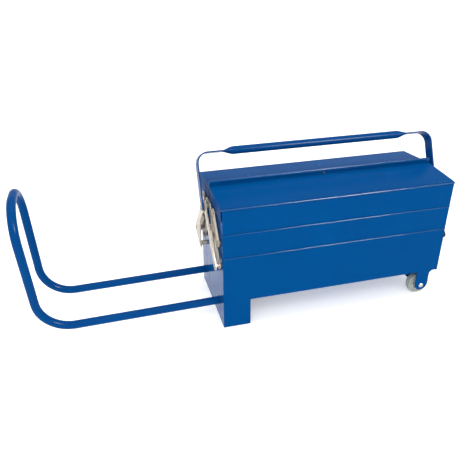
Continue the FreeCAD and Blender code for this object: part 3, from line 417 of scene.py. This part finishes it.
def arm_heads():
    """Domed rivet heads with pressed washers on every link arm."""
    arm_face = {
        "foot": low("front_foot_end_long_arm").x,
        "wheel": high("front_wheel_end_long_arm").x,
    }
    for side in SIDES:
        for body, places in arm_pivots(side).items():
            heads, washers = bmesh.new(), bmesh.new()
            for end, outward in ENDS.items():
                axis = (outward, 0, 0)
                for place in places:
                    face = Vector((arm_face[end], place.y, place.z))
                    seat = face + Vector(axis) * SEAT_GAP
                    head = dome(HEAD_RADIUS, ARM_HEAD_HEIGHT, HEAD_FLAT)
                    add_lathe(heads, seat, axis, head)
                    add_washer(washers, face, axis, HEAD_RADIUS, WASHER_RADIUS, WASHER_GAUGE)
            label = body.replace("_body", "") if body != "base" else f"{side}_base"
            piece_from(heads, f"{label}_rivet_heads", body, DARK)
            piece_from(washers, f"{label}_rivet_washers", body, STEEL)


def carrier_heads():
    """Snap heads on the studs that hold the carrier legs, and on the handle's pivots."""
    studs = bmesh.new()
    pivots = bmesh.new()
    handle_z = joint_place("carry_handle_swing").z
    pivot_radius, pivot_height, pivot_flat = 6.6 * MM, 1.7 * MM, 1.4 * MM
    for end, outward in ENDS.items():
        axis = (outward, 0, 0)
        for side in SIDES:
            leg = f"{side}_{end}_end_carrier_leg"
            face = low(leg).x if outward < 0 else high(leg).x
            place = joint_place(f"{side}_open")
            centres = [place] if side == "front" else [place, CRANK_FOOT]
            for centre in centres:
                seat = Vector((face, centre.y, centre.z))
                add_lathe(studs, seat, axis, dome(HEAD_RADIUS, HEAD_HEIGHT, HEAD_FLAT))
        strap = low("carry_handle").x if outward < 0 else high("carry_handle").x
        seat = Vector((strap + outward * SEAT_GAP, 0, handle_z))
        add_lathe(pivots, seat, axis, dome(pivot_radius, pivot_height, pivot_flat))
    piece_from(studs, "carrier_stud_heads", "base", STEEL)
    piece_from(pivots, "handle_pivot_heads", "base", BRIGHT)


def wheel_details():
    """Bright axle heads, wheel discs with ribs and a raised ring, and the tyres."""
    rib_start, rib_end, rib_depth, rib_radius = 6.5 * MM, 16.2 * MM, 2.6 * MM, 1.5 * MM
    ring_inner, ring_outer = 14.6 * MM, 16.0 * MM
    for side, sign in SIDES.items():
        spin = joint_place(f"{side}_wheel_spin")
        outward = (0, sign, 0)
        heads = bmesh.new()
        seat = Vector((spin.x, PANEL_Y[side], spin.z))
        add_lathe(heads, seat, outward, dome(5.2 * MM, 2.4 * MM, 0.8 * MM))
        piece_from(heads, f"{side}_axle_head", "base", BRIGHT)
        hub_low, hub_high = low(f"{side}_wheel_hub"), high(f"{side}_wheel_hub")
        ribs = bmesh.new()
        for face_y, face_sign in ((hub_low.y, -1), (hub_high.y, 1)):
            middle = Vector((spin.x, face_y, spin.z))
            axis = Vector((0, face_sign, 0))
            for k in range(8):
                turn = 2 * math.pi * (k + 0.5) / 8
                ray = Vector((math.cos(turn), 0, math.sin(turn)))
                start = middle + ray * rib_start - axis * rib_depth
                end = middle + ray * rib_end - axis * rib_depth
                add_tube(ribs, [start, (start + end) / 2, end], rib_radius, 10)
            ring_place = middle - axis * 1.6 * MM
            add_washer(ribs, ring_place, axis, ring_inner, ring_outer, 0.5 * MM, 48)
        piece_from(ribs, f"{side}_wheel_ribs", f"{side}_wheel", WHEEL)
        tread(side, spin)


def tread(side, spin):
    """The solid tyre: a crowned tread with two grooves and rounded shoulders."""
    node = f"{side}_wheel_tyre"
    start, width = low(node).y, high(node).y - low(node).y
    outer = (high(node).z - low(node).z) / 2
    half_groove, depth, shoulder, crown = 0.5 * MM, 0.55 * MM, 2.6 * MM, 0.15 * MM

    def shoulder_point(step):
        turn = math.pi / 2 * step / 5
        up = outer - shoulder + (shoulder - crown) * math.sin(turn)
        return shoulder * (1 - math.cos(turn)), up

    profile = [(0.0, RIM_RADIUS), (0.0, outer - shoulder)]
    profile += [shoulder_point(step) for step in range(1, 6)]
    for share in (0.36, 0.64):
        at = width * share
        profile += [
            (at - half_groove * 1.6, outer),
            (at - half_groove, outer - depth),
            (at + half_groove, outer - depth),
            (at + half_groove * 1.6, outer),
        ]
    for step in range(4, -1, -1):
        along, up = shoulder_point(step)
        profile.append((width - along, up))
    profile.append((width, RIM_RADIUS))
    build = bmesh.new()
    sides = 72
    columns = []
    for k in range(sides):
        turn = 2 * math.pi * k / sides
        ray = Vector((math.cos(turn), 0, math.sin(turn)))
        base = Vector((spin.x, start, spin.z))
        columns.append(
            [build.verts.new(base + Vector((0, along, 0)) + ray * r) for along, r in profile]
        )
    close_round(build, columns)
    tyre = piece_from(build, f"{side}_tyre", f"{side}_wheel", TYRE, 50.0)
    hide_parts(node)


# ---- hems and seams --------------------------------------------------------------------------
def rim_beads():
    """The glossy crown of the rolled rim along each tray's and the base's long edges, in a
    slightly paler blue as a painted highlight.
    """
    rim_inset, rim_drop, rim_radius, end_gap = 0.6 * MM, 1.1 * MM, 1.16 * MM, 1.2 * MM
    for side, sign in SIDES.items():
        rows = ((f"{side}_panel", "base"), (f"{side}_mid_tray", f"{side}_mid_tray_body"))
        for node, body in rows:
            rim = Vector((0, PANEL_Y[side] - sign * rim_inset, high(node).z - rim_drop))
            path = [rim + Vector((LEFT + (RIGHT - LEFT) * k / 24, 0, 0)) for k in range(25)]
            path[0].x += end_gap
            path[-1].x -= end_gap
            build = bmesh.new()
            add_tube(build, path, rim_radius, 16)
            piece_from(build, f"{node}_rim", body, BLUE_ROLL_PAINTED_HIGHLIGHT, 60.0)


def ridge_hems():
    """The free edge of each ridge flange, folded back on itself as a closed hem."""
    for side, sign in SIDES.items():
        node = f"{side}_lid"
        inner_y = high(node).y if side == "front" else low(node).y
        face = inner_y + sign * SHEET_GAUGE
        top = high(node).z
        drop, fold = 5.0 * MM, 0.85 * MM
        section = [(0.0, -drop), (fold * 0.7, -drop), (fold, -drop + fold * 0.4)]
        for k in range(7):
            turn = math.pi * k / 6
            across = (fold - SHEET_GAUGE) / 2 + (fold + SHEET_GAUGE) / 2 * math.cos(turn)
            section.append((across, fold * 0.5 * math.sin(turn)))
        section += [(-0.999 * MM, -0.2 * MM), (0.0, -0.2 * MM)]
        start, end = low(node).x + 0.3 * MM, high(node).x - 0.3 * MM
        build = bmesh.new()
        skin(
            build,
            [[Vector((x, face + sign * y, top + z)) for y, z in section] for x in (start, end)],
        )
        piece_from(build, f"{side}_ridge_hem", f"{side}_lid_body", BLUE_ROLL_PAINTED_HIGHLIGHT)


def apron_hems():
    """Small rolled edges along the lower edge of each lid's end plates."""
    hem_radius, hem_inset = 0.75 * MM, 0.5 * MM
    for side, sign in SIDES.items():
        node = f"{side}_lid_end_plates"
        lowest, highest = low(node), high(node)
        outer_y, inner_y = (lowest.y, highest.y) if sign < 0 else (highest.y, lowest.y)
        build = bmesh.new()
        for x in (lowest.x + hem_inset, highest.x - hem_inset):
            start = Vector((x, outer_y - sign * 0.9 * MM, lowest.z + 0.4 * MM))
            run = inner_y + sign * 4.0 * MM - start.y
            end = start + Vector((0, run, abs(run) * LID_SLOPE))
            add_tube(build, [start, (start + end) / 2, end], hem_radius, 10)
        # the hems take the end plates' darker blue, painted shade
        piece_from(build, f"{side}_apron_hems", f"{side}_lid_body", BLUE_PAINTED_SHADE)


def lid_rivets():
    """One small blind rivet holds the end plate's tab under each lid's sheet."""
    from_end, from_panel, from_leaf = 32 * MM, 10.2 * MM, 5.5 * MM
    radius, height, flat, sunk = 1.9 * MM, 1.2 * MM, 0.4 * MM, 0.35 * MM
    for side, sign in SIDES.items():
        x = RIGHT - from_end if side == "front" else LEFT + from_end
        y = PANEL_Y[side] - sign * from_panel
        sheet_z = high(f"{side}_hinge_lid_leaf").z + SHEET_GAUGE + from_leaf * LID_SLOPE
        build = bmesh.new()
        axis = Vector((0, sign * LID_SLOPE, 1))
        add_lathe(build, (x, y, sheet_z - sunk), axis, dome(radius, height, flat))
        piece_from(build, f"{side}_lid_rivet", f"{side}_lid_body", BLUE_ROLL_PAINTED_HIGHLIGHT)


def shaded_lock_rings():
    """A black eyelet round the padlock hole in each ridge flange; its black is painted shade for
    the shadowed hole.
    """
    inner, outer, thickness = 3.5 * MM, 4.7 * MM, 0.5 * MM
    mounts = {mount["name"]: mount for mount in frame["record"]["mounts"]}
    lock = Vector(mounts["padlock_hole"]["pos_m"])
    for side, sign in SIDES.items():
        face_y = (high if side == "front" else low)(f"{side}_lid").y + sign * SHEET_GAUGE
        build = bmesh.new()
        place = Vector((lock.x, face_y, lock.z))
        add_washer(build, place, (0, sign, 0), inner, outer, thickness, 36)
        piece_from(build, f"{side}_lock_shade_eyelet", f"{side}_lid_body", BLACK)


def weld_path(place, step):
    """A short, slightly wavy run along the floor pan's underside."""
    return [
        place + step * (k - 3) + Vector((0, 0, FLOOR_Z - (0.5 + 0.15 * (k % 2)) * MM))
        for k in range(7)
    ]


def weld_beads():
    """Short fillet welds of the wheel cheeks and the rod guide to the floor pan."""
    build = bmesh.new()
    weld_step, weld_radius = 2.0 * MM, 1.3 * MM
    for side in SIDES:
        node = f"{side}_wheel_cheek"
        lowest, highest = low(node), high(node)
        inner_y = highest.y if side == "front" else lowest.y
        for share in (0.2, 0.5, 0.8):
            place = Vector((lowest.x + (highest.x - lowest.x) * share, inner_y, 0))
            add_tube(build, weld_path(place, Vector((weld_step, 0, 0))), weld_radius, 8)
    lowest, highest = low("inner_rod_guide"), high("inner_rod_guide")
    for share in (0.15, 0.5, 0.85):
        place = Vector((lowest.x, lowest.y + (highest.y - lowest.y) * share, 0))
        add_tube(build, weld_path(place, Vector((0, weld_step, 0))), weld_radius, 8)
    piece_from(build, "underside_welds", "base", BLUE)


def rod_plugs():
    """Plugs in the open inner ends of the pull handle's tube."""
    build = bmesh.new()
    node = "rod_stop_collars"
    collar_radius = 9.2 * MM
    slide = Vector(JOINTS["pull_handle_slide"]["axis"]).normalized()
    rod_y = (high(node).y - low(node).y) / 2 - collar_radius
    middle_z = (high(node).z + low(node).z) / 2
    end_x = high(node).x + 1.0 * MM
    for sign in (-1, 1):
        centre = Vector((end_x, sign * rod_y, middle_z + 0.1 * MM))
        profile = [(-5.0 * MM, 6.8 * MM), (0.0, 6.9 * MM), (0.0, 8.2 * MM), (1.2 * MM, 8.0 * MM)]
        profile += [(1.9 * MM, 6.6 * MM), (2.1 * MM, 3.0 * MM)]
        add_lathe(build, centre, slide, profile, 32)
    piece_from(build, "rod_end_plugs", "pull_handle_body", BLACK)


# ---- stage ---------------------------------------------------------------------------------
def camera():
    """A normal-lens view from the front left and above, slightly rolled."""
    azimuth, elevation, roll = (math.radians(a) for a in (-14.321, 28.037, -0.559))
    focal_px, picture_px, sensor_mm = 524.963, 460, 36.0
    back = Vector(
        (
            math.sin(azimuth) * math.cos(elevation),
            -math.cos(azimuth) * math.cos(elevation),
            math.sin(elevation),
        )
    )
    across = Vector((0, 0, 1)).cross(back).normalized()
    above = back.cross(across)
    right = across * math.cos(roll) + above * math.sin(roll)
    up = above * math.cos(roll) - across * math.sin(roll)
    data = bpy.data.cameras.new("camera")
    data.sensor_width = sensor_mm
    data.lens = focal_px / picture_px * sensor_mm
    data.clip_end = 100.0
    data.shift_x = -0.5 / picture_px
    data.shift_y = 0.5 / picture_px
    item = bpy.data.objects.new("camera", data)
    place = Matrix((right, up, back)).transposed().to_4x4()
    place.translation = Vector((-216.6, -966.5, 706.8)) * MM
    item.matrix_world = place
    bpy.context.collection.objects.link(item)
    bpy.context.scene.camera = item


def lamp(name, place, target, size, power, glints_only=False):
    data = bpy.data.lights.new(name, "AREA")
    data.shape = "RECTANGLE"
    data.size, data.size_y = size
    data.energy = power
    item = bpy.data.objects.new(name, data)
    item.location = Vector(place)
    aim = Vector(target) - Vector(place)
    item.rotation_euler = aim.to_track_quat("-Z", "Y").to_euler()
    item.visible_diffuse = not glints_only
    bpy.context.collection.objects.link(item)


def studio():
    world = bpy.data.worlds.new("world")
    bpy.context.scene.world = world
    world.use_nodes = True
    background = world.node_tree.nodes["Background"]
    background.inputs["Color"].default_value = (1.0, 1.0, 1.0, 1.0)
    background.inputs["Strength"].default_value = 1.0
    lamp("key", (-0.5, -1.5, 1.9), (0.2, 0.0, 0.15), (1.4, 0.9), 16.0)
    lamp("top", (0.3, 0.4, 2.4), (0.2, 0.0, 0.1), (2.0, 1.4), 16.0)
    lamp("glint", (1.0, -1.45, 1.25), (0.2, -0.1, 0.2), (0.62, 0.6), 150.0, True)
    bpy.context.scene.view_settings.view_transform = "Standard"
    mesh = bpy.data.meshes.new("floor")
    build = bmesh.new()
    bmesh.ops.create_grid(build, x_segments=1, y_segments=1, size=30.0)
    build.to_mesh(mesh)
    build.free()
    floor = bpy.data.objects.new("floor", mesh)
    shader = Shader("floor_paper")
    tone = shader.blend(
        shader.noise(3.0), (0.92, 0.92, 0.92, 1.0), (0.94, 0.94, 0.94, 1.0)
    )
    shader.wire(tone, shader.principled.inputs["Base Color"])
    shader.set(Roughness=0.9, Emission_Color=(1.0, 1.0, 1.0, 1.0), Emission_Strength=0.32)
    mesh.materials.append(shader.material)
    bpy.context.collection.objects.link(floor)


paint_parts()
arm_heads()
carrier_heads()
wheel_details()
rim_beads()
ridge_hems()
apron_hems()
lid_rivets()
shaded_lock_rings()
weld_beads()
rod_plugs()
camera()
studio()
